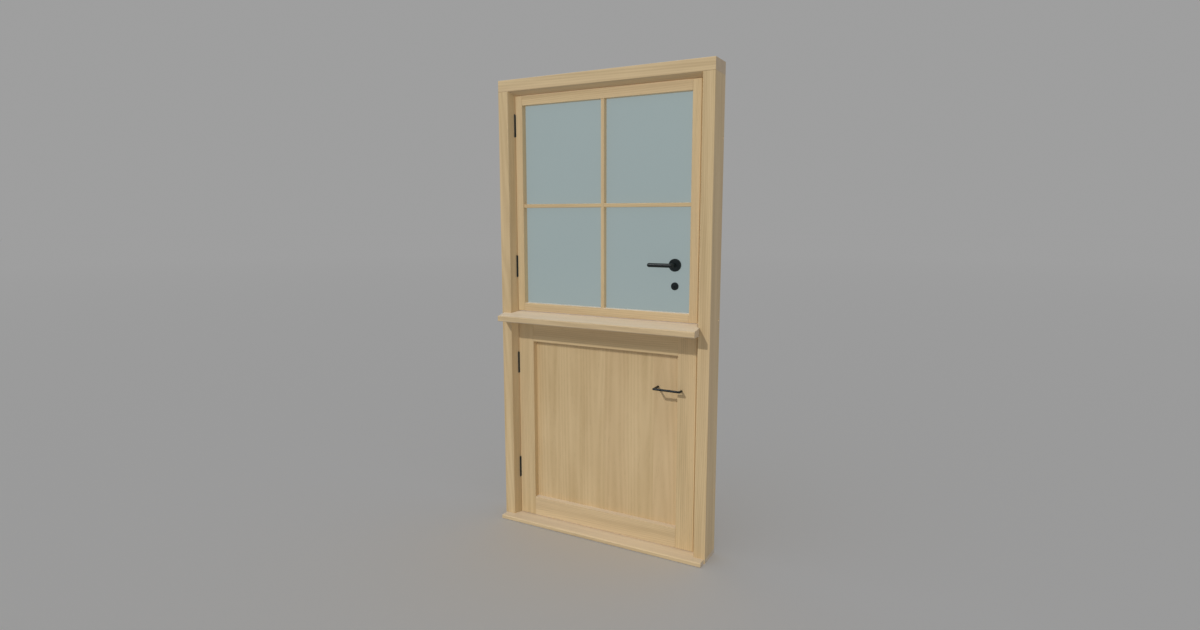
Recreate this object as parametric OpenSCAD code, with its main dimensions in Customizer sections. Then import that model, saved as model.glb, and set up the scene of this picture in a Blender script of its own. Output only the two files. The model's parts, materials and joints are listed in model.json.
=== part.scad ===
// Stable door: two leaves hung one above the other in one timber frame, with a
// serving shelf across the meeting line. Front face towards -Y, hinges at -X.
// Origin: underside of the sill, middle of the width, on the front face of the frame.

/* [Frame] */
// Overall width of the frame
frame_w = 1054; // [860:2:1300]
// Overall height of the frame, sill included
frame_h = 2115; // [1900:5:2540]
// Depth of the stop behind the leaves
stop_d = 25; // [20:1:60]
// Width of a jamb seen from the front
jamb_face = 52; // [40:1:90]
// Height of the head seen from the front
head_face = 52; // [40:1:90]
// How far the splayed reveal closes in from the front edge to the leaf
splay = 15; // [0:1:25]
// Setback of the leaf faces behind the front of the frame
reveal_d = 36; // [24:1:48]
// How far the stop stands in from the rebate, behind the leaves
stop_w = 13; // [8:1:20]
// Thickness of the sill
sill_t = 20; // [16:1:40]
// Projection of the sill nosing in front of the frame
sill_nose = 42; // [10:1:80]
// Height of the weather upstand behind the lower leaf
upstand_h = 15; // [8:1:25]
// Distance of the end wall fixings from the top and the bottom of the frame
fixing_end = 300; // [120:5:400]

/* [Leaves] */
// Thickness of both leaves
leaf_t = 56; // [50:1:70]
// Running gap between a leaf and the frame
run_gap = 3; // [2:0.5:5]
// Width of the stiles of the upper leaf
upper_stile_w = 38; // [34:1:110]
// Height of the top rail of the upper leaf
upper_top_h = 44; // [36:1:110]
// Height of the bottom rail of the upper leaf
upper_bottom_h = 38; // [34:1:110]
// Width of the stiles of the lower leaf
lower_stile_w = 84; // [60:1:130]
// Height of the top rail of the lower leaf
lower_top_h = 95; // [60:1:130]
// Height of the bottom rail of the lower leaf
lower_bottom_h = 92; // [60:1:200]
// Depth of the front lip that the glass and the panel sit behind
lip_d = 29; // [16:1:34]
// Depth of the rebate that holds the glass, the panel and their beads
rebate_w = 12; // [8:1:16]
// Thickness of the timber panel
panel_t = 16; // [9:1:18]

/* [Glazing] */
// Thickness of the satin glass pane
glass_t = 8; // [6:1:12]
// Face width of the glazing bars
bar_w = 17; // [12:1:40]
// Setback of the front glazing bars behind the leaf face
bar_setback = 6; // [0:1:12]
// Depth of the glazing bars behind the glass
inner_bar_d = 15; // [8:1:18]

/* [Shelf] */
// Height of the underside of the shelf above the floor
shelf_z = 998; // [850:1:1150]
// Thickness of the shelf at its front edge
shelf_t = 27; // [20:1:40]
// Rise of the sloping top from the front edge to the leaf face
shelf_rise = 17; // [0:1:22]
// Projection of the shelf in front of the frame
shelf_nose = 56; // [20:1:140]
// How far the shelf laps the face of the hinge jamb
horn_hinge = 40; // [10:1:48]
// How far the shelf laps the face of the lock jamb
horn_lock = 6; // [2:1:48]
// Running gap above and below the shelf
shelf_gap = 4; // [3:0.5:6]

/* [Hinges] */
// Height of each hinge
hinge_h = 100; // [75:1:125]
// Radius of the hinge knuckle
knuckle_r = 3; // [2.75:0.25:6]
// Radius of the hinge pin
hinge_pin_r = 1.5; // [1.25:0.25:2]
// Width of each hinge flap
flap_w = 30; // [24:1:40]
// Thickness of each hinge flap
flap_t = 2.5; // [2:0.25:3]
// Upper leaf: top hinge centre below the top of the leaf
upper_hinge_top = 133; // [90:1:250]
// Upper leaf: bottom hinge centre above the bottom of the leaf
upper_hinge_bottom = 212; // [90:1:300]
// Lower leaf: top hinge centre below the top of the leaf
lower_hinge_top = 205; // [90:1:300]
// Lower leaf: bottom hinge centre above the bottom of the leaf
lower_hinge_bottom = 235; // [90:1:300]

/* [Lever set] */
// Height of the lever axis above the underside of the upper leaf
lever_rise = 241; // [180:1:400]
// Distance of the lever axis from the lock edge of the leaf
backset = 115; // [100:1:150]
// Radius of the round outer rose
rose_r = 27.5; // [24:0.5:32]
// Radius of the round lever bar
lever_r = 9; // [7:0.5:11]
// Reach of the lever from its axis to its tip
lever_reach = 112; // [90:1:130]
// Distance of the lever bar's middle in front of the glass
lever_stand = 45; // [38:1:60]
// Distance of the cylinder below the lever axis
cylinder_drop = 91; // [72:1:100]
// Radius of the round cylinder ring
ring_r = 17; // [14:0.5:22]
// Throw of the two lock bolts
lock_throw = 14; // [10:1:18]

/* [Pull and bolts] */
// Height of the bow pull above the underside of the lower leaf
pull_rise = 722; // [400:1:850]
// Distance of the outer pull post from the lock edge of the leaf
pull_inset = 66; // [30:1:76]
// Spacing of the two pull posts
pull_span = 122; // [96:1:200]
// Radius of the pull bar
pull_r = 5; // [4:0.5:8]
// Stand-off of the pull bar's middle in front of the leaf face
pull_stand = 23; // [20:1:50]
// Radius of the sliding bolts on the inside
rod_r = 5; // [4:0.5:6]
// How far the bolt that ties the leaves together enters the lower leaf's keeper
tie_reach = 17; // [10:1:24]
// Throw of the bolt that holds the lower leaf
side_throw = 16; // [10:1:18]
// Height of the lower leaf's bolt above the underside of that leaf
side_bolt_rise = 762; // [300:1:840]

/* [Hidden] */
$fn = 48;

// Small clearances and allowances
fit_gap = 0.05;
seat_gap = 0.3;
cut = 1;
arris = 3;
// Planes of the frame and the leaves
frame_hw = frame_w / 2;
open_hw = frame_hw - jamb_face - splay;
stop_hw = open_hw - stop_w;
head_z = frame_h - head_face;
open_top = head_z - splay;
stop_top = open_top - stop_w;
leaf_hw = open_hw - run_gap;
leaf_y = reveal_d;
glass_y = leaf_y + lip_d;
leaf_back = leaf_y + leaf_t;
stop_gap = 3;
stop_y = leaf_back + stop_gap;
frame_d = stop_y + stop_d;
sill_inset = 5;
// Heights of the leaves and the shelf
lower_z0 = sill_t + run_gap;
lower_z1 = shelf_z - shelf_gap;
shelf_top = shelf_z + shelf_t + shelf_rise;
upper_z0 = shelf_top + shelf_gap;
upper_z1 = open_top - run_gap;
// Sight lines of the two leaves
light_hw = leaf_hw - upper_stile_w;
light_z0 = upper_z0 + upper_bottom_h;
light_z1 = upper_z1 - upper_top_h;
light_mid = (light_z0 + light_z1) / 2;
panel_hw = leaf_hw - lower_stile_w;
panel_z0 = lower_z0 + lower_bottom_h;
panel_z1 = lower_z1 - lower_top_h;
infill_gap = 2;
bead_joint = 0.2;
// Mortise and tenon
tenon_t = 14;
tenon_len = 24;
tenon_y = leaf_y + 7;
tenon_shoulder = 6;
// Hinges
hinge_x = -leaf_hw - run_gap / 2;
hinge_y = leaf_y - knuckle_r - 0.5;
knuckle_gap = 0.4;
knuckle_play = 0.6;
pin_head_t = 2;
knuckle_count = 5;
knuckle_h = (hinge_h - (knuckle_count - 1) * knuckle_gap) / knuckle_count;
upper_hinges = [upper_z0 + upper_hinge_bottom, upper_z1 - upper_hinge_top];
lower_hinges = [lower_z0 + lower_hinge_bottom, lower_z1 - lower_hinge_top];
screw_r = 2;
screw_head_r = 4;
hinge_screw_len = 26;
screw_rows = [-35, 0, 35];
screw_y = leaf_y + flap_w / 2;
screw_stagger = 5;
// Lock
lock_x = leaf_hw - backset;
lever_z = upper_z0 + lever_rise;
cylinder_z = lever_z - cylinder_drop;
case_t = 22;
case_wall = 2;
case_screw_in = 7;
case_screw_grip = 17;
screw_head_t = 2;
case_x0 = lock_x - 24;
case_x1 = stop_hw - 4;
case_z0 = cylinder_z - 24;
case_z1 = lever_z + 36;
case_y1 = leaf_back + case_t;
cover_y1 = case_y1 + case_wall;
bolt_y0 = stop_y + 4;
bolt_t = 10;
bolt_h = 14;
bolt_x0 = lock_x + 28;
bolt_x1 = case_x1 - 0.5;
spindle_r = 4;
plug_r = 8.5;
rose_t = 10;
ring_t = 6;
lever_y = glass_y - lever_stand;
inner_lever_y = cover_y1 + lever_stand - lever_r;
keeper_t = 3;
keeper_screw_in = 7;
side_keeper_hh = 22;
bolt_play = 0.3;
slot_play = 1;
slot_past = 4;
keeper_y0 = stop_y + 2;
keeper_y1 = frame_d - 2;
glass_hole_r = 12;
spindle_y0 = lever_y + lever_r;
spindle_y1 = inner_lever_y - lever_r;
cam_r = 14;
cam_y0 = leaf_back + case_wall + seat_gap;
cam_y1 = case_y1 - seat_gap;
plug_y0 = glass_y - ring_t - 1;
plug_y1 = cover_y1 + ring_t + 2;
// Sliding bolts
rod_y = leaf_back + 10.5;
rod_play = 0.8;
barrel_r = 8;
plate_t = 3;
barrel_hw = 10;
tie_x = stop_hw - 15;
tie_z0 = upper_z0 + 4;
tie_z1 = case_z0 - 4;
tie_tip = upper_z0 + 1;
tie_throw = tie_tip - lower_z1 + tie_reach;
tie_knob_z = tie_z0 + tie_throw + 14;
tie_len = tie_knob_z + 5 - tie_tip;
tie_keeper_z0 = lower_z1 - 36;
tie_keeper_z1 = lower_z1 - 4;
side_z = lower_z0 + side_bolt_rise;
side_x0 = stop_hw - 62;
side_x1 = stop_hw - 5;
side_tip = stop_hw - 4.5;
side_len = 54;
side_knob_x = side_tip - side_len + 8;
knob_r = 3.5;
knob_len = 16;
// Frame screws
frame_screw_r = 3;
frame_screw_head_r = 6;
frame_screw_head_t = 4;
frame_screw_len = 80;
frame_screw_sink = 8;
frame_screw_x = frame_hw - 30;
frame_screw_y = [30, 80];
// Fixings through the jambs into the wall
wall_hole_r = 4;
wall_hole_y = stop_y + stop_d / 2;
wall_hole_z = frame_h / 2;
wall_hole_pitch = frame_h / 2 - fixing_end;
// Shelf pegs
peg_r = 6;
peg_out = 16;
peg_in = 22;
peg_z = shelf_z + 20;
peg_y = [leaf_y + 8, leaf_back - 12];
shelf_end = open_hw - 2;
slot_depth = peg_out + 4;
// Pull
pull_x1 = leaf_hw - pull_inset;
pull_x0 = pull_x1 - pull_span;
pull_z = lower_z0 + pull_rise;
pull_y = leaf_y - pull_stand;
pull_bolt_r = 2.5;
// Seals
seal_w = 8;
seal_tongue = 3;
seal_tongue_d = 2;
seal_y = leaf_back + seat_gap;
oak = [0.73, 0.64, 0.48];
oak_panel = [0.71, 0.62, 0.46];
black = [0.11, 0.14, 0.15];
steel = [0.55, 0.56, 0.57];
glass_tint = [0.6, 0.65, 0.65];

// A block given by its lowest and highest corners
module block(x0, x1, y0, y1, z0, z1) {
    translate([x0, y0, z0]) cube([x1 - x0, y1 - y0, z1 - z0]);
}

// A prism along X whose section is drawn in Y and Z
module along_x(x0, x1) {
    translate([x0, 0, 0]) rotate([90, 0, 90]) linear_extrude(x1 - x0) children();
}

// A round bar along X, Y or Z
module bar_x(r, x0, x1, y, z) {
    translate([x0, y, z]) rotate([0, 90, 0]) cylinder(r = r, h = x1 - x0);
}
module bar_y(r, y0, y1, x, z) {
    translate([x, y0, z]) rotate([-90, 0, 0]) cylinder(r = r, h = y1 - y0);
}
module bar_z(r, z0, z1, x, y) {
    translate([x, y, z0]) cylinder(r = r, h = z1 - z0);
}

// Plan of a jamb on the lock side: splayed reveal, rebate and stop
module jamb_plan() {
    polygon([
        [frame_hw - jamb_face, 0], [frame_hw, 0], [frame_hw, frame_d], [stop_hw, frame_d],
        [stop_hw, stop_y], [open_hw, stop_y], [open_hw, reveal_d]
    ]);
}

// A jamb from the sill to the head, with its wall holes and frame screw holes
module jamb_body() {
    difference() {
        translate([0, 0, sill_t]) linear_extrude(head_z - sill_t) jamb_plan();
        for (i = [-1:1]) {
            z = wall_hole_z + i * wall_hole_pitch;
            bar_x(wall_hole_r, stop_hw - cut, frame_hw + cut, wall_hole_y, z);
        }
        frame_screw_shape(fit_gap);
        seal_groove_side();
    }
}

// Countersunk screw with its head on the plane x = 0 and its point towards +X
module screw(r, head_r, len) {
    rotate([0, 90, 0]) cylinder(r = r, h = len);
    rotate([0, 90, 0]) cylinder(r1 = head_r, r2 = r, h = head_r - r);
}

// Frame screws: two at each end of the lock jamb, down through the head and up through the sill
module frame_screw_shape(grow) {
    top = frame_h - frame_screw_sink;
    x = frame_screw_x;
    for (y = frame_screw_y) {
        bar_z(frame_screw_r + grow, top - frame_screw_len, top, x, y);
        bar_z(frame_screw_head_r + grow, top, top + frame_screw_head_t, x, y);
        bar_z(frame_screw_r + grow, frame_screw_sink, frame_screw_sink + frame_screw_len, x, y);
        bar_z(frame_screw_head_r + grow, frame_screw_sink - frame_screw_head_t, frame_screw_sink, x, y);
    }
}

// Grooves for the seals in the front faces of the stops
module seal_groove_side() {
    x = (stop_hw + open_hw) / 2 - seal_tongue / 2;
    block(x, x + seal_tongue, stop_y - cut, stop_y + seal_tongue_d, sill_t - cut, open_top + cut);
}
module seal_groove_head() {
    z = (stop_top + open_top) / 2 - seal_tongue / 2;
    block(-stop_hw, stop_hw, stop_y - cut, stop_y + seal_tongue_d, z, z + seal_tongue);
}

// Head: runs over both jambs, and its splay and stop are scribed to them
module head() {
    color(oak) difference() {
        along_x(-frame_hw, frame_hw) polygon([
            [0, head_z], [reveal_d, open_top], [stop_y, open_top], [stop_y, stop_top],
            [frame_d, stop_top], [frame_d, frame_h], [0, frame_h]
        ]);
        for (m = [0, 1]) mirror([m, 0, 0]) {
            translate([0, 0, stop_top - cut]) linear_extrude(head_z - stop_top + cut) jamb_plan();
            frame_screw_shape(fit_gap);
            for (y = frame_screw_y) {
                bar_z(frame_screw_head_r + fit_gap, frame_h - frame_screw_sink, frame_h + cut,
                    frame_screw_x, y);
            }
        }
        seal_groove_head();
    }
}

// Hinge jamb: let in for four hinge flaps and hollowed for their knuckles
module hinge_jamb() {
    color(oak) difference() {
        mirror([1, 0, 0]) jamb_body();
        for (z = concat(upper_hinges, lower_hinges)) {
            block(-open_hw - flap_t, -open_hw + cut, hinge_y - cut, leaf_y + flap_w,
                z - hinge_h / 2, z + hinge_h / 2);
            bar_z(knuckle_r + knuckle_play, z - hinge_h / 2 - pin_head_t - knuckle_play,
                z + hinge_h / 2 + pin_head_t + knuckle_play, hinge_x, hinge_y);
            hinge_screw_set(z, -open_hw, -1, fit_gap);
        }
        for (y = peg_y) bar_x(peg_r + fit_gap, -open_hw - peg_in, -open_hw + cut, y, peg_z);
    }
}

// Lock jamb: mortised for the lock keeper and bored for the lower leaf's bolt
module lock_jamb() {
    color(oak) difference() {
        jamb_body();
        block(stop_hw - cut, stop_hw + keeper_t, keeper_y0, keeper_y1, case_z0, case_z1);
        for (z = [lever_z, cylinder_z]) {
            block(stop_hw, stop_hw + lock_throw + slot_past,
                bolt_y0 - slot_play, bolt_y0 + bolt_t + slot_play,
                z - bolt_h / 2 - slot_play, z + bolt_h / 2 + slot_play);
        }
        block(stop_hw - cut, stop_hw + keeper_t, keeper_y0, keeper_y1,
            side_z - side_keeper_hh, side_z + side_keeper_hh);
        bar_x(rod_r + rod_play, stop_hw, stop_hw + side_throw + slot_past, rod_y, side_z);
        keeper_screw_shape(fit_gap);
        for (y = peg_y) bar_x(peg_r + fit_gap, open_hw - cut, open_hw + peg_in, y, peg_z);
    }
}

// Sill: under the jambs, with a projecting nosing and a weather upstand between the stops
module sill() {
    color(oak) difference() {
        union() {
            block(-frame_hw, frame_hw, 0, frame_d, 0, sill_t);
            along_x(-frame_hw + sill_inset, frame_hw - sill_inset) polygon([
                [0, 0], [-sill_nose + arris, 0], [-sill_nose, arris], [-sill_nose, sill_t - arris],
                [-sill_nose + arris, sill_t], [0, sill_t]
            ]);
            block(-stop_hw, stop_hw, stop_y, frame_d, sill_t, sill_t + upstand_h);
        }
        for (m = [0, 1]) mirror([m, 0, 0]) {
            frame_screw_shape(fit_gap);
            for (y = frame_screw_y) {
                bar_z(frame_screw_head_r + fit_gap, -cut, frame_screw_sink, frame_screw_x, y);
            }
        }
    }
}

// Screws that hold the head and the sill to the jambs
module frame_screws() {
    color(steel) for (m = [0, 1]) mirror([m, 0, 0]) frame_screw_shape(0);
}

// Rubber seals on the stops, each with a tongue in its groove
module stop_seals() {
    side_x = (stop_hw + open_hw) / 2;
    head_seal_z = (stop_top + open_top) / 2;
    side_top = stop_top;
    color("dimgray") {
        for (s = [-1, 1]) {
            translate([s * side_x, 0, 0]) {
                block(-seal_w / 2, seal_w / 2, seal_y, stop_y, sill_t, side_top);
                block(-seal_tongue / 2, seal_tongue / 2, stop_y, stop_y + seal_tongue_d,
                    sill_t, side_top);
            }
        }
        block(-stop_hw, stop_hw, seal_y, stop_y, head_seal_z - seal_w / 2, head_seal_z + seal_w / 2);
        block(-stop_hw, stop_hw, stop_y, stop_y + seal_tongue_d,
            head_seal_z - seal_tongue / 2, head_seal_z + seal_tongue / 2);
    }
}

// One hinge flap: dir -1 is the frame side with three knuckles, +1 the leaf side with two
module hinge_flap(z, dir) {
    face = dir < 0 ? -open_hw : -leaf_hw;
    x0 = min(face, face + dir * flap_t);
    first = dir < 0 ? 0 : 1;
    z0 = z - hinge_h / 2;
    difference() {
        union() {
            block(x0, x0 + flap_t, leaf_y, leaf_y + flap_w, z0, z0 + hinge_h);
            for (k = [first:2:knuckle_count - 1]) {
                kz = z0 + k * (knuckle_h + knuckle_gap);
                bar_z(knuckle_r, kz, kz + knuckle_h, hinge_x, hinge_y);
                block(x0, x0 + flap_t, hinge_y, leaf_y + cut, kz, kz + knuckle_h);
            }
        }
        bar_z(hinge_pin_r + fit_gap, z0 - cut, z0 + hinge_h + cut, hinge_x, hinge_y);
        hinge_screw_set(z, face, dir, fit_gap);
    }
}

// Three countersunk screws through a flap whose outer face is at x
module hinge_screw_set(z, x, dir, grow) {
    for (i = [0:len(screw_rows) - 1]) {
        y = screw_y + (i == 1 ? screw_stagger : -screw_stagger);
        translate([x, y, z + screw_rows[i]]) mirror([dir < 0 ? 1 : 0, 0, 0]) {
            screw(screw_r + grow, screw_head_r + grow, hinge_screw_len);
        }
    }
}

module hinge_frame_flaps() {
    color(black) for (z = concat(upper_hinges, lower_hinges)) hinge_flap(z, -1);
}

// Headed pins that join the two flaps of each hinge
module hinge_pins() {
    color(black) for (z = concat(upper_hinges, lower_hinges)) {
        z0 = z - hinge_h / 2;
        z1 = z + hinge_h / 2;
        bar_z(hinge_pin_r, z0 - pin_head_t, z1 + pin_head_t, hinge_x, hinge_y);
        bar_z(knuckle_r - 0.2, z1, z1 + pin_head_t, hinge_x, hinge_y);
        bar_z(knuckle_r - 0.2, z0 - pin_head_t, z0, hinge_x, hinge_y);
    }
}

module hinge_frame_screws() {
    color(steel) for (z = concat(upper_hinges, lower_hinges)) hinge_screw_set(z, -open_hw, -1, 0);
}

module upper_hinge_flaps() {
    color(black) for (z = upper_hinges) hinge_flap(z, 1);
}

module upper_hinge_screws() {
    color(steel) for (z = upper_hinges) hinge_screw_set(z, -leaf_hw, 1, 0);
}

module lower_hinge_flaps() {
    color(black) for (z = lower_hinges) hinge_flap(z, 1);
}

module lower_hinge_screws() {
    color(steel) for (z = lower_hinges) hinge_screw_set(z, -leaf_hw, 1, 0);
}

// Screws of the two keepers
module keeper_screw_shape(grow) {
    y = (keeper_y0 + keeper_y1) / 2;
    in = keeper_screw_in;
    for (z = [case_z0 + in, case_z1 - in, side_z - side_keeper_hh + in, side_z + side_keeper_hh - in]) {
        translate([stop_hw, y, z]) screw(screw_r + grow, screw_head_r + grow, hinge_screw_len);
    }
}

// Lock keeper: steel plate let into the stop, with two slots for the bolts
module lock_keeper() {
    color(steel) difference() {
        block(stop_hw, stop_hw + keeper_t, keeper_y0, keeper_y1, case_z0, case_z1);
        for (z = [lever_z, cylinder_z]) {
            block(stop_hw - cut, stop_hw + keeper_t + cut,
                bolt_y0 - slot_play, bolt_y0 + bolt_t + slot_play,
                z - bolt_h / 2 - slot_play, z + bolt_h / 2 + slot_play);
        }
        keeper_screw_shape(fit_gap);
    }
}

// Keeper plate for the lower leaf's bolt
module side_bolt_keeper() {
    color(steel) difference() {
        block(stop_hw, stop_hw + keeper_t, keeper_y0, keeper_y1,
            side_z - side_keeper_hh, side_z + side_keeper_hh);
        bar_x(rod_r + rod_play, stop_hw - cut, stop_hw + keeper_t + cut, rod_y, side_z);
        keeper_screw_shape(fit_gap);
    }
}

module keeper_screws() {
    color(steel) keeper_screw_shape(0);
}

// Steel pegs in the jambs that the shelf slides on to
module shelf_pegs() {
    color(steel) for (m = [0, 1]) mirror([m, 0, 0]) for (y = peg_y) {
        bar_x(peg_r, open_hw - peg_out, open_hw + peg_in - cut, y, peg_z);
    }
}

// Shelf: fills the slot between the leaves, laps both jambs and is slotted for its pegs
module shelf() {
    back = leaf_back;
    color(oak) difference() {
        intersection() {
            translate([0, 0, shelf_z - cut]) linear_extrude(shelf_t + shelf_rise + 2 * cut) polygon([
                [-frame_hw + jamb_face - horn_hinge, -shelf_nose],
                [frame_hw - jamb_face + horn_lock, -shelf_nose],
                [frame_hw - jamb_face + horn_lock, -seat_gap],
                [frame_hw - jamb_face - 2, -seat_gap],
                [shelf_end, leaf_y], [shelf_end, back], [-shelf_end, back], [-shelf_end, leaf_y],
                [-frame_hw + jamb_face + 2, -seat_gap],
                [-frame_hw + jamb_face - horn_hinge, -seat_gap]
            ]);
            along_x(-frame_hw, frame_hw) polygon([
                [-shelf_nose + arris, shelf_z], [back, shelf_z], [back, shelf_top], [leaf_y, shelf_top],
                [-shelf_nose + arris, shelf_z + shelf_t], [-shelf_nose, shelf_z + shelf_t - arris],
                [-shelf_nose, shelf_z + arris]
            ]);
        }
        for (m = [0, 1]) mirror([m, 0, 0]) {
            block(shelf_end - slot_depth, shelf_end + cut, peg_y[0], back + cut,
                peg_z - peg_r - fit_gap, peg_z + peg_r + fit_gap);
            bar_x(peg_r + fit_gap, shelf_end - slot_depth, shelf_end + cut, peg_y[0], peg_z);
        }
    }
}

// A stile on the lock side: full width in front of the infill, rebated behind it
module stile(w, z0, z1) {
    block(leaf_hw - w, leaf_hw, leaf_y, glass_y, z0, z1);
    block(leaf_hw - w + rebate_w, leaf_hw, glass_y, leaf_back, z0, z1);
}

// A rail between stiles of width w: dir +1 has its sight edge on top, -1 below
module rail(w, z0, z1, dir) {
    hw = leaf_hw - w;
    rz0 = dir > 0 ? z0 : z0 + rebate_w;
    rz1 = dir > 0 ? z1 - rebate_w : z1;
    block(-hw, hw, leaf_y, glass_y, z0, z1);
    block(-hw - rebate_w, hw + rebate_w, glass_y, leaf_back, rz0, rz1);
    block(-hw - tenon_len, hw + tenon_len, tenon_y, tenon_y + tenon_t,
        z0 + tenon_shoulder, z1 - tenon_shoulder);
}

// Mortise on the lock side that takes a rail's tenon
module mortise(w, z0, z1) {
    block(leaf_hw - w - cut, leaf_hw - w + tenon_len + cut, tenon_y, tenon_y + tenon_t,
        z0 + tenon_shoulder, z1 - tenon_shoulder);
}

module upper_stile_body() {
    difference() {
        stile(upper_stile_w, upper_z0, upper_z1);
        mortise(upper_stile_w, upper_z0, light_z0);
        mortise(upper_stile_w, light_z1, upper_z1);
    }
}

// Recesses and screw holes for the leaf flaps in a hinge stile
module hinge_recesses(heights) {
    for (z = heights) {
        block(-leaf_hw - cut, -leaf_hw + flap_t, leaf_y - cut, leaf_y + flap_w,
            z - hinge_h / 2, z + hinge_h / 2);
        hinge_screw_set(z, -leaf_hw, 1, fit_gap);
    }
}

module upper_hinge_stile() {
    color(oak) difference() {
        mirror([1, 0, 0]) upper_stile_body();
        hinge_recesses(upper_hinges);
    }
}

module upper_lock_stile() {
    color(oak) difference() {
        upper_stile_body();
        lock_screw_shape(fit_gap);
        tie_bolt_screw_shape(fit_gap);
    }
}

module upper_top_rail() {
    color(oak) rail(upper_stile_w, light_z1, upper_z1, -1);
}

module upper_bottom_rail() {
    color(oak) difference() {
        rail(upper_stile_w, upper_z0, light_z0, 1);
        tie_bolt_screw_shape(fit_gap);
    }
}

// Satin glass in one pane, drilled for the spindle and the cylinder
module glass_pane() {
    edge = rebate_w - infill_gap;
    color(glass_tint) difference() {
        block(-light_hw - edge, light_hw + edge, glass_y, glass_y + glass_t,
            light_z0 - edge, light_z1 + edge);
        bar_y(glass_hole_r, glass_y - cut, glass_y + glass_t + cut, lock_x, lever_z);
        bar_y(glass_hole_r, glass_y - cut, glass_y + glass_t + cut, lock_x, cylinder_z);
    }
}

// Four separate beads round an opening: uprights full height, cross pieces between them
module beads(hw, z0, z1, y0) {
    for (s = [-1, 1]) {
        x0 = s > 0 ? hw : -hw - rebate_w;
        block(x0, x0 + rebate_w, y0, leaf_back, z0 - rebate_w, z1 + rebate_w);
    }
    inner = hw - bead_joint;
    block(-inner, inner, y0, leaf_back, z0 - rebate_w, z0);
    block(-inner, inner, y0, leaf_back, z1, z1 + rebate_w);
}

module glazing_beads() {
    color(oak) difference() {
        beads(light_hw, light_z0, light_z1, glass_y + glass_t);
        tie_bolt_screw_shape(fit_gap);
    }
}

// Front glazing bars: the upright runs through, the cross bars butt against it
module glazing_bar_upright() {
    color(oak) block(-bar_w / 2, bar_w / 2, leaf_y + bar_setback, glass_y, light_z0, light_z1);
}

module glazing_bars_cross() {
    color(oak) for (s = [-1, 1]) {
        x0 = s > 0 ? bar_w / 2 : -light_hw;
        block(x0, x0 + light_hw - bar_w / 2, leaf_y + bar_setback, glass_y,
            light_mid - bar_w / 2, light_mid + bar_w / 2);
    }
}

module inner_bar_upright() {
    y0 = glass_y + glass_t;
    color(oak) block(-bar_w / 2, bar_w / 2, y0, y0 + inner_bar_d, light_z0, light_z1);
}

module inner_bars_cross() {
    y0 = glass_y + glass_t;
    color(oak) for (s = [-1, 1]) {
        x0 = s > 0 ? bar_w / 2 : -light_hw;
        block(x0, x0 + light_hw - bar_w / 2, y0, y0 + inner_bar_d,
            light_mid - bar_w / 2, light_mid + bar_w / 2);
    }
}

// A flat round rose with an eased front edge, bored for what turns in it
module rose(r, t, bore_r, y, dir, z) {
    translate([lock_x, y, z]) rotate([dir < 0 ? 90 : -90, 0, 0]) difference() {
        rotate_extrude() polygon([
            [0, 0], [r, 0], [r, t - 1.5], [r - 0.5, t - 0.5], [r - 1.5, t], [0, t]
        ]);
        translate([0, 0, -cut]) cylinder(r = bore_r, h = t + 2 * cut);
    }
}

module outer_rose() {
    color(black) rose(rose_r, rose_t, spindle_r + fit_gap, glass_y, -1, lever_z);
}

module inner_rose() {
    color(black) rose(rose_r - 2.5, rose_t, spindle_r + fit_gap, cover_y1, 1, lever_z);
}

module cylinder_rings() {
    color(black) {
        rose(ring_r, ring_t, plug_r + fit_gap, glass_y, -1, cylinder_z);
        rose(ring_r, ring_t, plug_r + fit_gap, cover_y1, 1, cylinder_z);
    }
}

// Oak packer between the glass and the lock case
module lock_packer() {
    color(oak) difference() {
        block(case_x0 + 4, light_hw - 6, glass_y + glass_t, leaf_back, case_z0 + 4, case_z1 - 4);
        bar_y(spindle_r + 2, glass_y, leaf_back + cut, lock_x, lever_z);
        bar_y(plug_r + 1, glass_y, leaf_back + cut, lock_x, cylinder_z);
        lock_screw_shape(fit_gap);
    }
}

// Rim lock case: a steel tray open to the back, slotted for its two bolts
module lock_case() {
    color(black) difference() {
        block(case_x0, case_x1, leaf_back, case_y1, case_z0, case_z1);
        block(case_x0 + case_wall, case_x1 - case_wall, leaf_back + case_wall, case_y1 + cut,
            case_z0 + case_wall, case_z1 - case_wall);
        for (z = [lever_z, cylinder_z]) {
            block(case_x1 - case_wall - cut, case_x1 + cut,
                bolt_y0 - bolt_play, bolt_y0 + bolt_t + bolt_play,
                z - bolt_h / 2 - bolt_play, z + bolt_h / 2 + bolt_play);
        }
        bar_y(spindle_r + fit_gap, leaf_back - cut, case_y1, lock_x, lever_z);
        bar_y(plug_r + fit_gap, leaf_back - cut, case_y1, lock_x, cylinder_z);
        lock_screw_shape(fit_gap);
    }
}

module lock_cover() {
    color(black) difference() {
        block(case_x0, case_x1, case_y1, cover_y1, case_z0, case_z1);
        bar_y(spindle_r + fit_gap, case_y1 - cut, cover_y1 + cut, lock_x, lever_z);
        bar_y(plug_r + fit_gap, case_y1 - cut, cover_y1 + cut, lock_x, cylinder_z);
        lock_screw_shape(fit_gap);
    }
}

// Four screws through the corners of the lock case
module lock_screw_shape(grow) {
    x_rows = [case_x0 + case_screw_in + 5, case_x1 - case_screw_in];
    for (x = x_rows) for (z = [case_z0 + case_screw_in, case_z1 - case_screw_in]) {
        bar_y(screw_r + grow, leaf_back - case_screw_grip, cover_y1, x, z);
        bar_y(screw_head_r + grow, cover_y1, cover_y1 + screw_head_t, x, z);
    }
}

module lock_screws() {
    color(steel) lock_screw_shape(0);
}

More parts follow.
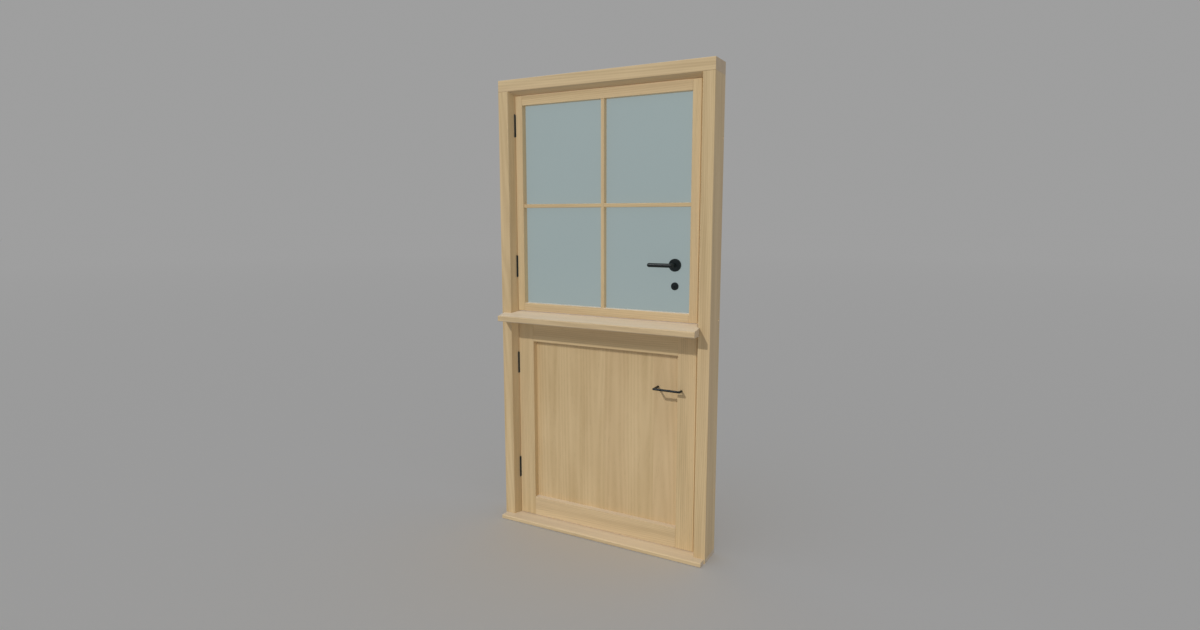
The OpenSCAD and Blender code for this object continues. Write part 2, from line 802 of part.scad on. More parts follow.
// Lever bar with a round neck and a ball corner; dir -1 is the outside, +1 the inside
module lever(y_bar, y_neck, y_end) {
    difference() {
        union() {
            bar_y(lever_r, min(y_bar, y_neck), max(y_bar, y_neck), lock_x, lever_z);
            translate([lock_x, y_bar, lever_z]) sphere(r = lever_r);
            bar_x(lever_r, lock_x - lever_reach + lever_r, lock_x, y_bar, lever_z);
            translate([lock_x - lever_reach + lever_r, y_bar, lever_z]) sphere(r = lever_r);
        }
        bar_y(spindle_r + fit_gap, min(y_end, y_neck) - (y_end > y_neck ? cut : 0),
            max(y_end, y_neck) + (y_end > y_neck ? 0 : cut), lock_x, lever_z);
    }
}

module outer_lever() {
    color(black) lever(lever_y, glass_y - rose_t - seat_gap, spindle_y0);
}

module inner_lever() {
    color(black) lever(inner_lever_y, cover_y1 + rose_t + seat_gap, spindle_y1);
}

// Spindle through both levers, the glass and the lock
module spindle() {
    color(steel) bar_y(spindle_r, spindle_y0, spindle_y1, lock_x, lever_z);
}

// Follower: a cam on the spindle inside the case that drives the lift bolt
module lock_follower() {
    color(steel) difference() {
        bar_y(cam_r, cam_y0, cam_y1, lock_x, lever_z);
        bar_y(spindle_r + fit_gap, cam_y0 - cut, cam_y1 + cut, lock_x, lever_z);
    }
}

// A flat bolt, drawn in until its nose is just inside the case
module flat_bolt(z) {
    block(bolt_x0, bolt_x1, bolt_y0, bolt_y0 + bolt_t, z - bolt_h / 2, z + bolt_h / 2);
}

module lift_bolt() {
    color(steel) flat_bolt(lever_z);
}

module deadbolt() {
    color(steel) flat_bolt(cylinder_z);
}

// Cylinder plug with a cam inside the case and a key slot in its outer end
module cylinder_plug() {
    color(black) difference() {
        union() {
            bar_y(plug_r, plug_y0, plug_y1, lock_x, cylinder_z);
            bar_y(cam_r, cam_y0, cam_y1, lock_x, cylinder_z);
        }
        block(lock_x - 0.8, lock_x + 0.8, plug_y0 - cut, plug_y0 + 10, cylinder_z - 5, cylinder_z + 5);
    }
}

// Thumb turn on the inner end of the plug
module thumb_turn() {
    color(black) {
        bar_y(plug_r + 1, plug_y1, plug_y1 + 4, lock_x, cylinder_z);
        block(lock_x - 3, lock_x + 3, plug_y1 + 4, plug_y1 + 22, cylinder_z - 14, cylinder_z + 14);
    }
}

// Plate and slotted barrel of a sliding bolt, along +Z from the origin, plate towards -Y
module bolt_barrel(len, slot0, slot1) {
    difference() {
        union() {
            block(-barrel_hw, barrel_hw, leaf_back - rod_y, leaf_back - rod_y + plate_t, 0, len);
            bar_z(barrel_r, 0, len, 0, 0);
        }
        bar_z(rod_r + fit_gap, -cut, len + cut, 0, 0);
        block(-knob_r - 0.5, knob_r + 0.5, 0, barrel_r + cut, slot0, slot1);
    }
}

// Round rod of a sliding bolt with its knob, along +Z from the origin
module bolt_rod(len, knob) {
    bar_z(rod_r, 0, len, 0, 0);
    bar_y(knob_r, 0, knob_len, 0, knob);
    translate([0, knob_len, knob]) sphere(r = knob_r + 2);
}

module tie_bolt_screw_shape(grow) {
    for (z = [tie_z0 + 14, tie_z1 - 6]) for (s = [-1, 1]) {
        bar_y(1 + grow, leaf_back - 8, leaf_back + plate_t, tie_x + s * (barrel_hw - 1.5), z);
    }
}

// Barrel that ties the leaves together: a rod shot down past the shelf
module tie_bolt_barrel() {
    color(black) difference() {
        translate([tie_x, rod_y, tie_z0]) {
            bolt_barrel(tie_z1 - tie_z0, tie_knob_z - tie_throw - tie_z0 - knob_r - 0.5,
                tie_knob_z - tie_z0 + knob_r + 0.5);
        }
        tie_bolt_screw_shape(fit_gap);
    }
}

module tie_bolt_screws() {
    color(steel) tie_bolt_screw_shape(0);
}

module tie_bolt_rod() {
    color(steel) translate([tie_x, rod_y, tie_tip]) bolt_rod(tie_len, tie_knob_z - tie_tip);
}

module lower_stile_body() {
    difference() {
        stile(lower_stile_w, lower_z0, lower_z1);
        mortise(lower_stile_w, lower_z0, panel_z0);
        mortise(lower_stile_w, panel_z1, lower_z1);
    }
}

module lower_hinge_stile() {
    color(oak) difference() {
        mirror([1, 0, 0]) lower_stile_body();
        hinge_recesses(lower_hinges);
    }
}

module lower_lock_stile() {
    color(oak) difference() {
        lower_stile_body();
        pull_bolt_shape(fit_gap);
        lower_bolt_screw_shape(fit_gap);
    }
}

module lower_top_rail() {
    color(oak) rail(lower_stile_w, panel_z1, lower_z1, -1);
}

module lower_bottom_rail() {
    color(oak) rail(lower_stile_w, lower_z0, panel_z0, 1);
}

// Flat panel of the lower leaf
module lower_panel() {
    edge = rebate_w - infill_gap;
    color(oak_panel) difference() {
        block(-panel_hw - edge, panel_hw + edge, glass_y, glass_y + panel_t,
            panel_z0 - edge, panel_z1 + edge);
        pull_bolt_shape(fit_gap);
    }
}

module panel_beads() {
    color(oak) beads(panel_hw, panel_z0, panel_z1, glass_y + panel_t);
}

// Bow pull: one post stands on the panel, the other on the lock stile
module bow_pull() {
    ends = [[pull_x0, glass_y], [pull_x1, leaf_y]];
    color(black) difference() {
        union() {
            bar_x(pull_r, pull_x0, pull_x1, pull_y, pull_z);
            for (e = ends) bar_y(pull_r, pull_y, e[1], e[0], pull_z);
            for (x = [pull_x0, pull_x1]) translate([x, pull_y, pull_z]) sphere(r = pull_r);
        }
        pull_bolt_shape(fit_gap);
    }
}

// Bolts from the inside of the leaf into the two pull posts
module pull_bolt_shape(grow) {
    bar_y(pull_bolt_r + grow, glass_y - 16, glass_y + panel_t, pull_x0, pull_z);
    bar_y(screw_head_r + 1 + grow, glass_y + panel_t, glass_y + panel_t + 3, pull_x0, pull_z);
    bar_y(pull_bolt_r + grow, leaf_y - 14, leaf_back, pull_x1, pull_z);
    bar_y(screw_head_r + 1 + grow, leaf_back, leaf_back + 3, pull_x1, pull_z);
}

module pull_bolts() {
    color(steel) pull_bolt_shape(0);
}

module lower_bolt_screw_shape(grow) {
    for (z = [tie_keeper_z0 + 3, tie_keeper_z1 - 3]) for (s = [-1, 1]) {
        bar_y(1 + grow, leaf_back - 8, leaf_back + plate_t, tie_x + s * (barrel_hw - 1.5), z);
    }
    for (x = [side_x0 + 6, side_x1 - 6]) for (s = [-1, 1]) {
        bar_y(1 + grow, leaf_back - 8, leaf_back + plate_t, x, side_z + s * (barrel_hw - 1.5));
    }
}

module lower_bolt_screws() {
    color(steel) lower_bolt_screw_shape(0);
}

// Keeper on the lower leaf that the tie bolt drops into
module tie_bolt_keeper() {
    color(black) difference() {
        union() {
            block(tie_x - barrel_hw, tie_x + barrel_hw, leaf_back, leaf_back + plate_t,
                tie_keeper_z0, tie_keeper_z1);
            bar_z(barrel_r, tie_keeper_z0, tie_keeper_z1, tie_x, rod_y);
        }
        bar_z(rod_r + rod_play, tie_keeper_z0 - cut, tie_keeper_z1 + cut, tie_x, rod_y);
        lower_bolt_screw_shape(fit_gap);
    }
}

// Barrel of the bolt that holds the lower leaf to the lock jamb
module side_bolt_barrel() {
    color(black) difference() {
        translate([side_x0, rod_y, side_z]) rotate([0, 90, 0]) {
            bolt_barrel(side_x1 - side_x0, side_knob_x - side_x0 - knob_r - 0.5,
                side_knob_x + side_throw - side_x0 + knob_r + 0.5);
        }
        lower_bolt_screw_shape(fit_gap);
    }
}

module side_bolt_rod() {
    color(steel) translate([side_tip - side_len, rod_y, side_z]) rotate([0, 90, 0]) {
        bolt_rod(side_len, side_knob_x - side_tip + side_len);
    }
}

head();
hinge_jamb();
lock_jamb();
sill();
frame_screws();
stop_seals();
hinge_frame_flaps();
hinge_pins();
hinge_frame_screws();
lock_keeper();
side_bolt_keeper();
keeper_screws();
shelf_pegs();
shelf();
upper_hinge_stile();
upper_lock_stile();
upper_top_rail();
upper_bottom_rail();
glass_pane();
glazing_beads();
glazing_bar_upright();
glazing_bars_cross();
inner_bar_upright();
inner_bars_cross();
upper_hinge_flaps();
upper_hinge_screws();
outer_rose();
inner_rose();
cylinder_rings();
lock_packer();
lock_case();
lock_cover();
lock_screws();
tie_bolt_barrel();
tie_bolt_screws();
outer_lever();
inner_lever();
spindle();
lock_follower();
lift_bolt();
deadbolt();
cylinder_plug();
thumb_turn();
tie_bolt_rod();
lower_hinge_stile();
lower_lock_stile();
lower_top_rail();
lower_bottom_rail();
lower_panel();
panel_beads();
lower_hinge_flaps();
lower_hinge_screws();
bow_pull();
pull_bolts();
tie_bolt_keeper();
side_bolt_barrel();
lower_bolt_screws();
side_bolt_rod();
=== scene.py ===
import json
import math

import bmesh
import bpy
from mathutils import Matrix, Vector

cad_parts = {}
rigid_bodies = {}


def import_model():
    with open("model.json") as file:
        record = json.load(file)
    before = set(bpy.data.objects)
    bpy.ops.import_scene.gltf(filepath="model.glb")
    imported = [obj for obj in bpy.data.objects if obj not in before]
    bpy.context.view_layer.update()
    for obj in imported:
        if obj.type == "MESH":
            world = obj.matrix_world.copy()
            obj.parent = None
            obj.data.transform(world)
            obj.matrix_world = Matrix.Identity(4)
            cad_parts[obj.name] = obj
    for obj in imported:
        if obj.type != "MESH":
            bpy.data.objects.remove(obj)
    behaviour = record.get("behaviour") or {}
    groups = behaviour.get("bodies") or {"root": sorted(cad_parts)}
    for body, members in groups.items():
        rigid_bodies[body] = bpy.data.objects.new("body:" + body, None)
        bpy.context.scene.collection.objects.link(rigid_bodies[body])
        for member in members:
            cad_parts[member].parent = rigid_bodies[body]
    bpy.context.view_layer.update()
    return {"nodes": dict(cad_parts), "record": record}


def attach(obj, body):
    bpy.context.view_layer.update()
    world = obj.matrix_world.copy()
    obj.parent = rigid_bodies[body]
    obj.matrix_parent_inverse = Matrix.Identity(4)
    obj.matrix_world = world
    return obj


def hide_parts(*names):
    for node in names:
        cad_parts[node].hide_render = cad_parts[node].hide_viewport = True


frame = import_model()
bodies = frame["record"]["behaviour"]["bodies"]
body_of = {node: body for body, nodes in bodies.items() for node in nodes}

# Sill: one oak board under the jambs with a nosing in front and a weather upstand behind.
# It is planed, its sharp edges are eased with a plane, and it is oiled.
EASED_EDGE = 0.0012
LONG_EDGE = 0.02
SHARP = math.radians(40)
FACETED = math.radians(35)
BROAD_FACE = 0.0004
WELD = 2e-5
FLAT = math.radians(0.5)
RING_RATE = 1150


class Wire:
    """A shader socket. Arithmetic on it adds Math nodes to its material."""

    def __init__(self, tree, socket):
        self.tree = tree
        self.socket = socket

    def node(self, kind, settings=None, inputs=None, output=0):
        """Adds any other node: its settings first, then the values or links of its sockets."""
        made = self.tree.nodes.new("ShaderNode" + kind)
        for name, value in (settings or {}).items():
            setattr(made, name, value)
        for name, value in (inputs or {}).items():
            if isinstance(value, Wire):
                self.tree.links.new(value.socket, made.inputs[name])
            else:
                made.inputs[name].default_value = value
        return Wire(self.tree, made.outputs[output])

    def math(self, operation, other=0.0):
        """One step of arithmetic on this value."""
        return self.node("Math", {"operation": operation}, {0: self, 1: other})

    def __add__(self, other):
        return self.math("ADD", other)

    def __mul__(self, other):
        return self.math("MULTIPLY", other)

    def __sub__(self, other):
        return self.math("SUBTRACT", other)

    def __rsub__(self, other):
        return self.node("Math", {"operation": "SUBTRACT"}, {0: other, 1: self})

    __radd__ = __add__
    __rmul__ = __mul__

    def parts(self):
        """The three numbers of this vector."""
        return [self.node("SeparateXYZ", {}, {0: self}, i) for i in range(3)]

    def noise(self, scale, detail=2.0, roughness=0.5):
        """Soft noise from 0 to 1 over this vector."""
        values = {"Vector": self, "Scale": scale, "Detail": detail, "Roughness": roughness}
        return self.node("TexNoise", {}, values)

    def stretch(self, scale, place=(0, 0, 0), turn=(0, 0, 0)):
        """This vector scaled, turned and moved."""
        values = {"Vector": self, "Scale": scale, "Location": place, "Rotation": turn}
        return self.node("Mapping", {}, values)

    def blend(self, low, high):
        """The colour low where this value is 0 and high where it is 1."""
        return self.node("Mix", {"data_type": "RGBA"}, {0: self, 6: low, 7: high}, 2)

    def between(self, low, high):
        """0 where this value is under low, 1 where it is over high."""
        settings = {"clamp": True}
        return self.node("MapRange", settings, {"Value": self, "From Min": low, "From Max": high})

    def bump(self, distance, strength):
        """A Normal with this height in it."""
        values = {"Height": self, "Distance": distance, "Strength": strength}
        return self.node("Bump", {}, values)


def new_material(name, **constants):
    """A material with its shader's constants set, and the Object coordinates of its pattern."""
    material = bpy.data.materials.new(name)
    material.use_nodes = True
    tree = material.node_tree
    shader = tree.nodes["Principled BSDF"]
    for socket, value in constants.items():
        shader.inputs[socket.replace("_", " ")].default_value = value
    place = Wire(tree, tree.nodes.new("ShaderNodeTexCoord").outputs["Object"])
    return material, shader, place


def feed(shader, socket, wire):
    """Links a pattern to one of the shader's sockets."""
    wire.tree.links.new(wire.socket, shader.inputs[socket])


def rings(u, v, rate):
    """Growth rings from 0 to 1 round a pith, with the rate in radians to the metre."""
    radius = (u * u + v * v).math("SQRT")
    return (radius * rate).math("SINE") * 0.5 + 0.5


def fibre_and_pores(board):
    """The fine fibres along a board, and the open pores among them."""
    fibre = board.stretch((1, 1, 0.022)).noise(430, 2, 0.6)
    pores = board.stretch((1, 1, 0.03)).noise(1100, 1).between(0.6, 0.74)
    return fibre, pores


def oak(name, axis, pith, lean, seed, tone=1.0, bloom=0.0):
    """Oak with its growth rings in the round, so faces show grain and ends show rings.

    axis is the way the fibres run, pith the log's centre across the board in metres,
    lean how far the log leans against the board, tone the board's lightness, and bloom the pale
    sheen that worn oil has when it is seen at a low angle.
    """
    material, shader, place = new_material(name, IOR=1.45, Sheen_Weight=bloom)
    turn = (0, -math.pi / 2, 0) if axis == "X" else (0, 0, 0)
    board = place.stretch((1, 1, 1), turn=turn)
    shifted = board.stretch((1, 1, 1), place=(seed * 0.37, seed * 0.61, seed * 0.83))
    across, depth, along = board.parts()
    wander = shifted.stretch((1, 1, 0.16)).noise(5, 2) - 0.5
    u = across - pith[0] + along * lean[0] + wander * 0.05
    v = depth - pith[1] + along * lean[1] + wander * 0.03
    growth = rings(u, v, RING_RATE)
    bands = shifted.stretch((1, 1, 0.035)).noise(34, 3, 0.55)
    broad = shifted.stretch((1, 1, 0.14)).noise(7, 2)
    fibre, pores = fibre_and_pores(shifted)
    light = growth * 0.20 + bands * 1.30 + fibre * 0.35 - 0.425
    honey = tuple(c * tone for c in (0.570, 0.418, 0.222)) + (1,)
    cream = tuple(c * tone for c in (0.735, 0.558, 0.314)) + (1,)
    rose = tuple(c * tone for c in (0.700, 0.505, 0.297)) + (1,)
    grain = light.between(0.25, 0.75).blend(honey, cream)
    warm = broad.between(0.42, 0.62).blend(grain, rose)
    mixed = place.node("Mix", {"data_type": "RGBA"}, {0: 0.28, 6: grain, 7: warm}, 2)
    umber = (0.36 * tone, 0.235 * tone, 0.11 * tone, 1)
    porous = (pores * (1 - growth) * 0.34).blend(mixed, umber)
    facing = place.node("TexCoord", {}, {}, 1)
    way = (1, 0, 0) if axis == "X" else (0, 0, 1)
    end = place.node("VectorMath", {"operation": "DOT_PRODUCT"}, {0: facing, 1: way}, 1)
    cut = end.math("ABSOLUTE").between(0.75, 0.9)
    feed(shader, "Base Color", (cut * (0.35 + growth * 0.25)).blend(porous, umber))
    feed(shader, "Roughness", 0.30 + fibre * 0.12)
    feed(shader, "Normal", (fibre * 0.5 - pores * 0.5 + growth * 0.15).bump(0.00025, 0.6))
    return material


def cad_shape(node):
    """A CAD node's mesh with its loose triangles joined into clean faces."""
    shape = bmesh.new()
    shape.from_mesh(frame["nodes"][node].data)
    bmesh.ops.remove_doubles(shape, verts=shape.verts, dist=WELD)
    bmesh.ops.dissolve_limit(shape, angle_limit=FLAT, verts=shape.verts, edges=shape.edges)
    return shape


def ease(shape, width, least=LONG_EDGE):
    """Rounds the sharp outer edges that are at least so long."""
    edges = [
        e for e in shape.edges
        if e.is_convex and e.calc_length() > least and e.calc_face_angle(0) > SHARP
    ]
    bmesh.ops.bevel(
        shape, geom=edges, offset=width, affect="EDGES", segments=2,
        profile=0.5, material=-1, clamp_overlap=False,
    )


def place_piece(shape, node, material):
    """Makes the shape a piece that rides on its CAD node's body and stands for it.

    Broad faces are shaded flat and the small ones round their edges smooth.
    """
    name = node + ".finished"
    mesh = bpy.data.meshes.new(name)
    shape.to_mesh(mesh)
    shape.free()
    mesh.materials.append(material)
    mesh.set_sharp_from_angle(angle=FACETED)
    mesh.polygons.foreach_set("use_smooth", [face.area < BROAD_FACE for face in mesh.polygons])
    piece = bpy.data.objects.new(name, mesh)
    bpy.context.scene.collection.objects.link(piece)
    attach(piece, body_of[node])
    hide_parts(node)


def oak_member(node, axis, pith, lean, seed, tone=1.0, bloom=0.0, least=LONG_EDGE):
    """A timber member as planed, with eased edges and a board of its own."""
    shape = cad_shape(node)
    ease(shape, EASED_EDGE, least)
    material = oak(node + "_oak", axis, pith, lean, seed, tone, bloom)
    place_piece(shape, node, material)


oak_member("sill", "X", (0.05, 0.31), (0.02, 0.01), 1, bloom=0.9)

# Jambs and head: three oak members screwed together, splayed in towards the leaves.
# Each has a rebate for the leaves, with a stop behind them. The bolts' mortises stay square.
PAST_MORTISES = 0.3
oak_member("hinge_jamb", "Z", (-0.40, 0.30), (0.03, 0.01), 2, 0.98)
oak_member("lock_jamb", "Z", (0.66, 0.25), (-0.02, 0.01), 3, 0.995, least=PAST_MORTISES)
oak_member("head", "X", (-2.2, 0.22), (0.02, 0.02), 4, bloom=0.5)


# Screws, pegs, spindle and other plated steel: bright zinc plate, dulled by handling.
# The screws of the frame, the spindle and the follower take it on their CAD shapes.
def plated_steel():
    material, shader, place = new_material("plated_steel", Metallic=1.0)
    brushed = place.stretch((1, 1, 0.2)).noise(900, 2)
    clouds = place.noise(60, 2)
    dull = (0.42, 0.42, 0.41, 1)
    bright = (0.60, 0.60, 0.58, 1)
    feed(shader, "Base Color", clouds.blend(dull, bright))
    feed(shader, "Roughness", 0.26 + brushed * 0.16)
    return material


steel = plated_steel()


def give_material(node, material):
    """A CAD node whose shape is right gets its finish in its own slots."""
    slots = frame["nodes"][node].data.materials
    if not slots:
        slots.append(material)
    for i in range(len(slots)):
        slots[i] = material


for node in ("frame_screws", "spindle", "lock_follower"):
    give_material(node, steel)


# Seals: black rubber strips with a tongue pressed into a groove in the stops.
# The leaves close on their soft front faces.
def seal_rubber():
    material, shader, place = new_material("seal_rubber", IOR=1.5)
    mottle = place.noise(180, 2)
    black_rubber = (0.018, 0.018, 0.018, 1)
    worn_rubber = (0.034, 0.033, 0.032, 1)
    feed(shader, "Base Color", mottle.blend(black_rubber, worn_rubber))
    feed(shader, "Roughness", 0.72 + mottle * 0.15)
    feed(shader, "Normal", place.noise(1400, 1).bump(0.0001, 0.4))
    return material


seals = cad_shape("stop_seals")
ease(seals, EASED_EDGE)
place_piece(seals, "stop_seals", seal_rubber())


# Hinges: two pairs of black butt hinges let into the hinge jamb and the hinge stiles.
# A frame flap and a leaf flap turn on each headed pin, and screws with round sockets hold them.
BROKEN_EDGE = 0.0004
SHORT_EDGE = 0.002
ROUND_END = 12
HEAD_SHARE = 0.6
SOCKET_WALL = 0.45
SOCKET_TAPER = 0.05
SOCKET_DEPTH = 0.3


def powder_coat():
    material, shader, place = new_material("powder_coat", IOR=1.38)
    peel = place.noise(700, 1)
    rub = place.noise(45, 3)
    black_coat = (0.004, 0.008, 0.009, 1)
    rubbed_coat = (0.007, 0.014, 0.016, 1)
    feed(shader, "Base Color", rub.blend(black_coat, rubbed_coat))
    feed(shader, "Roughness", 0.34 + rub * 0.16)
    feed(shader, "Normal", peel.bump(0.00012, 0.35))
    return material


black = powder_coat()


def metal_piece(node, material):
    """A metal part as pressed or turned, with its edges just broken."""
    shape = cad_shape(node)
    ease(shape, BROKEN_EDGE, SHORT_EDGE)
    place_piece(shape, node, material)


for node in ("hinge_frame_flaps", "hinge_pins", "upper_hinge_flaps", "lower_hinge_flaps"):
    metal_piece(node, black)


def driven_screws(node, material):
    """Screws with a round socket sunk in each head, in shares of the head's radius.

    A screw's round ends are its faces with many corners, and its head is the broad one.
    """
    shape = cad_shape(node)
    ends = [face for face in shape.faces if len(face.verts) > ROUND_END]
    broadest = max(face.calc_area() for face in ends)
    heads = [face for face in ends if face.calc_area() > broadest * HEAD_SHARE]
    radius = math.sqrt(broadest / math.pi)
    bmesh.ops.inset_individual(
        shape, faces=heads, thickness=radius * SOCKET_WALL, use_even_offset=True,
    )
    bmesh.ops.inset_individual(
        shape, faces=heads, thickness=radius * SOCKET_TAPER, depth=-radius * SOCKET_DEPTH,
        use_even_offset=True,
    )
    place_piece(shape, node, material)


for node in ("hinge_frame_screws", "upper_hinge_screws", "lower_hinge_screws", "keeper_screws"):
    driven_screws(node, steel)

# Keepers: plated plates let into the stop of the lock jamb, slotted for the bolts.
# Two screws hold each of them.
for node in ("lock_keeper", "side_bolt_keeper"):
    metal_piece(node, steel)

# Shelf: a loose oak board across the meeting line with a top that slopes to the front.
# It slides on to four steel pegs in the jambs.
oak_member("shelf", "X", (-1.05, 0.11), (0.015, 0.02), 5, bloom=0.95)
metal_piece("shelf_pegs", steel)

# Upper leaf: two stiles and two rails, mortised and tenoned, glued and planed flush.
# Each member is cut from a board of its own, so the grain changes at every joint.
oak_member("upper_hinge_stile", "Z", (-0.32, 0.16), (0.01, 0.005), 6)
oak_member("upper_lock_stile", "Z", (0.60, 0.20), (-0.02, 0.01), 7)
oak_member("upper_top_rail", "X", (-1.90, 0.19), (0.02, 0.01), 8)
oak_member("upper_bottom_rail", "X", (-1.18, 0.21), (0.01, 0.015), 9, bloom=0.8)


# Glass: one satin pane, etched on its outer face, so it can't be seen through. It is pale from
# its tint and from painted light: it glows in its own tint, standing in for daylight coming
# through the pane, so shadows on it stay faint.
# It is drilled for the spindle and the cylinder.
def satin_glass():
    # Emission Strength makes the pane glow as painted light, though it is no lamp.
    material, shader, place = new_material(
        "satin_glass", IOR=1.5, Specular_IOR_Level=0.25, Emission_Strength=1.2,
    )
    cloud = place.noise(3, 2)
    frost = place.noise(2500, 1)
    thin_etch_and_glow = (0.149, 0.181, 0.182, 1)
    thick_etch_and_glow = (0.153, 0.186, 0.187, 1)
    tint_and_glow = cloud.blend(thin_etch_and_glow, thick_etch_and_glow)
    feed(shader, "Base Color", tint_and_glow)
    # The tint also drives the emission: a painted glow that stands in for daylight through the
    # etched pane.
    feed(shader, "Emission Color", tint_and_glow)
    feed(shader, "Roughness", 0.42 + frost * 0.1)
    feed(shader, "Normal", frost.bump(0.00004, 0.3))
    return material


GROUND_EDGE = 0.0006
pane = cad_shape("glass_pane")
ease(pane, GROUND_EDGE)
place_piece(pane, "glass_pane", satin_glass())

# Glazing bars and beads: thin oak strips glued to both faces of the pane and set round it.
# An upright and a cross bar in two halves on each face make four lights.
oak_member("glazing_beads", "Z", (0.3, 0.3), (0.01, 0.01), 10)
oak_member("glazing_bar_upright", "Z", (0.12, 0.12), (0.01, 0.005), 11)
oak_member("glazing_bars_cross", "X", (-1.45, 0.16), (0.01, 0.01), 12)
oak_member("inner_bar_upright", "Z", (0.10, 0.20), (0.01, 0.005), 13)
oak_member("inner_bars_cross", "X", (-1.62, 0.13), (0.01, 0.01), 14)

# Lock: a rim lock in a black steel case on an oak packer behind the glass.
# Its two bolts shoot into the lock jamb. The outer rose and a cylinder ring lie on the pane.
oak_member("lock_packer", "Z", (0.45, 0.20), (0.01, 0.01), 15)
for node in ("lock_case", "lock_cover", "outer_rose", "inner_rose", "cylinder_rings"):
    metal_piece(node, black)
for node in ("lift_bolt", "deadbolt"):
    metal_piece(node, steel)
driven_screws("lock_screws", steel)

# Levers: round black bars on a common spindle, one on each side.
# The cylinder's plug turns below the outer lever, with a thumb turn inside.
for node in ("outer_lever", "inner_lever", "cylinder_plug", "thumb_turn"):
    metal_piece(node, black)

# Tie bolt: a steel rod in a slotted barrel that couples the leaves behind the shelf.
# The side bolt on the lower leaf is made the same way and shoots into the lock jamb.
for node in ("tie_bolt_barrel", "tie_bolt_keeper", "side_bolt_barrel"):
    metal_piece(node, black)
for node in ("tie_bolt_screws", "tie_bolt_rod", "side_bolt_rod", "lower_bolt_screws"):
    metal_piece(node, steel)

# Lower leaf: four oak members, mortised and tenoned like the upper leaf's.
# Its panel is set back from their faces as far as the glass.
oak_member("lower_hinge_stile", "Z", (-0.20, 0.18), (0.015, 0.01), 16)
oak_member("lower_lock_stile", "Z", (0.27, 0.22), (0.012, 0.01), 17, 0.98)
oak_member("lower_top_rail", "X", (-0.83, 0.16), (0.012, 0.01), 18)
oak_member("lower_bottom_rail", "X", (0.05, 0.20), (0.01, 0.012), 19, 0.99, bloom=0.9)


# Panel: crown-cut staves glued edge to edge, so each shows arched grain of its own.
# Oak beads hold it from the inside.
PANEL_RING_RATE = 520


def crown_cut_oak(stave):
    """Staves side by side, each cut across its own log near the centre."""
    material, shader, place = new_material("panel_oak", IOR=1.45)
    across, depth, up = place.parts()
    count = across * (1 / stave)
    number = count.math("FLOOR")
    chance = place.node("TexWhiteNoise", {"noise_dimensions": "1D"}, {"W": number})
    away = (count - number - 0.5) * stave
    shifted = place.node(
        "VectorMath", {"operation": "ADD"},
        {0: place, 1: place.node("CombineXYZ", {}, {0: chance, 1: number, 2: chance * 7})},
    )
    wander = shifted.stretch((1, 1, 0.2)).noise(6, 2) - 0.5
    u = away + wander * 0.03 + (chance - 0.5) * 0.05
    v = depth * 0.5 + up * 0.055 * (chance - 0.3) + 0.02 + wander * 0.025
    growth = rings(u, v, PANEL_RING_RATE)
    bands = shifted.stretch((1, 1, 0.12)).noise(15, 2)
    broad = shifted.stretch((1, 1, 0.4)).noise(8, 2)
    fibre, pores = fibre_and_pores(shifted)
    light = growth * 0.18 + bands * 0.85 + broad * 0.65 + fibre * 0.2 - 0.44
    honey = (0.562, 0.405, 0.207, 1)
    cream = (0.731, 0.553, 0.315, 1)
    rose = (0.678, 0.480, 0.279, 1)
    umber = (0.34, 0.22, 0.10, 1)
    grain = light.between(0.12, 0.88).blend(honey, cream)
    warm = place.node("Mix", {"data_type": "RGBA"}, {0: 0.3, 6: grain, 7: rose}, 2)
    mixed = chance.blend(grain, warm)
    feed(shader, "Base Color", (pores * (1 - growth) * 0.36).blend(mixed, umber))
    feed(shader, "Roughness", 0.30 + fibre * 0.12)
    feed(shader, "Normal", (fibre * 0.5 - pores * 0.5 + growth * 0.2).bump(0.00025, 0.6))
    return material


STAVE = 0.124
panel = cad_shape("lower_panel")
ease(panel, EASED_EDGE)
place_piece(panel, "lower_panel", crown_cut_oak(STAVE))
oak_member("panel_beads", "Z", (0.3, 0.3), (0.01, 0.01), 20)

# Bow pull: a black bar on two posts, bolted through from the inside.
# The longer post stands on the panel and the shorter one on the lock stile.
metal_piece("bow_pull", black)
driven_screws("pull_bolts", steel)

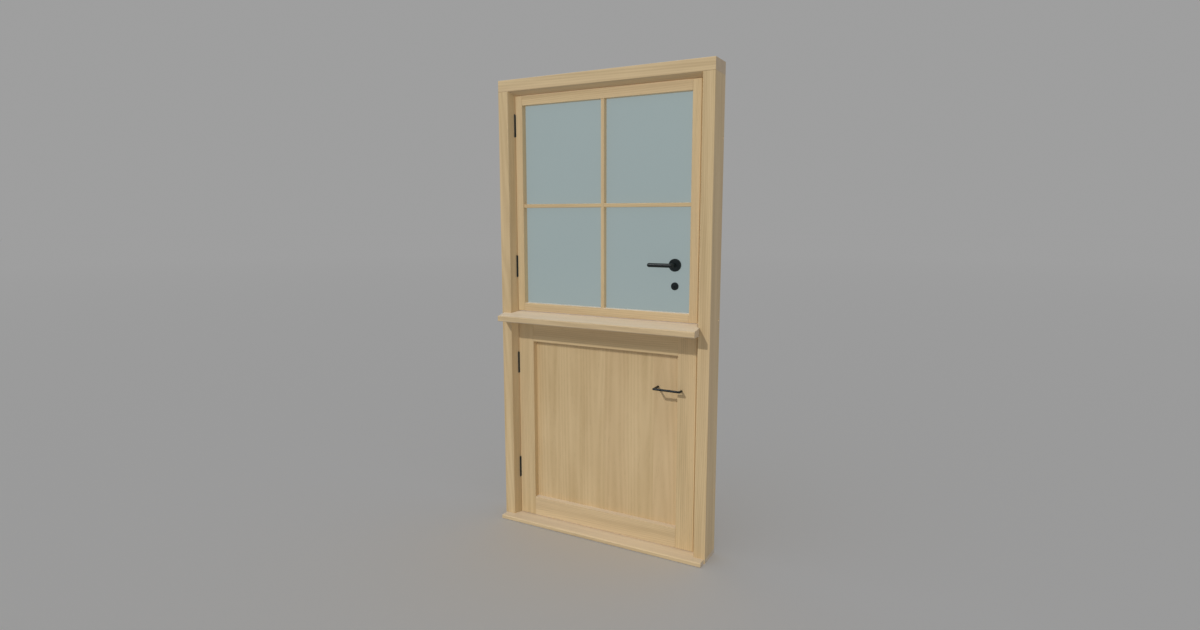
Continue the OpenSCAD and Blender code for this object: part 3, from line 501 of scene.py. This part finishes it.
# Stage: a plain pale floor under an even sky, a sun from the upper left in front and a soft fill.
# Only the shelf and the pull shade the sun, so the recesses of the leaves stay evenly lit.
GREY = 0.345
FLOOR_RADIUS = 60
CAMERA_TILT = 0.1403
CAMERA_TURN = 0.496
pieces = bpy.data.collections.new("lit_by_the_lamps")
for thing in bpy.context.scene.objects:
    if thing.type == "MESH":
        pieces.objects.link(thing)
shading = bpy.data.collections.new("shades_the_sun")
for node in ("shelf", "bow_pull"):
    shading.objects.link(bpy.data.objects[node + ".finished"])

floor_shape = bmesh.new()
bmesh.ops.create_circle(floor_shape, cap_ends=True, segments=96, radius=FLOOR_RADIUS)
floor_mesh = bpy.data.meshes.new("floor")
floor_shape.to_mesh(floor_mesh)
floor_shape.free()
floor = bpy.data.objects.new("floor", floor_mesh)
bpy.context.scene.collection.objects.link(floor)
floor_material, floor_shader, floor_place = new_material(
    "pale_floor", Roughness=0.95, Specular_IOR_Level=0.0,
)
away = floor_place.node("VectorMath", {"operation": "LENGTH"}, {0: floor_place}, 1)
near_tone = (0.94, 0.94, 0.94, 1)
far_tone = (1.0, 1.0, 1.0, 1)
feed(floor_shader, "Base Color", away.between(3, 25).blend(near_tone, far_tone))
floor_mesh.materials.append(floor_material)

world = bpy.data.worlds.new("studio")
world.use_nodes = True
sky = world.node_tree.nodes["Background"]
sky.inputs["Color"].default_value = (GREY, GREY, GREY, 1)
bpy.context.scene.world = world


def lamp(name, energy, angle, way, shadow):
    """A sun shining the given way on the object, and not on the floor."""
    light = bpy.data.lights.new(name, "SUN")
    light.energy = energy
    light.angle = math.radians(angle)
    light.use_shadow = shadow
    made = bpy.data.objects.new(name, light)
    made.rotation_euler = Vector(way).to_track_quat("-Z", "Y").to_euler()
    bpy.context.scene.collection.objects.link(made)
    made.light_linking.receiver_collection = pieces
    return made


sun = lamp("sun", 1.6, 2, (0.68, 1.0, -1.0), True)
sun.light_linking.blocker_collection = shading
lamp("fill", 0.42, 20, (-0.85, 0.5, -0.15), False)

lens = bpy.data.cameras.new("camera")
lens.lens = 20.7
lens.sensor_width = 36
camera = bpy.data.objects.new("camera", lens)
camera.location = (1.4658, -2.6898, 1.489)
camera.rotation_euler = (math.pi / 2 - CAMERA_TILT, 0, CAMERA_TURN)
bpy.context.scene.collection.objects.link(camera)
bpy.context.scene.camera = camera
bpy.context.scene.view_settings.view_transform = "Standard"
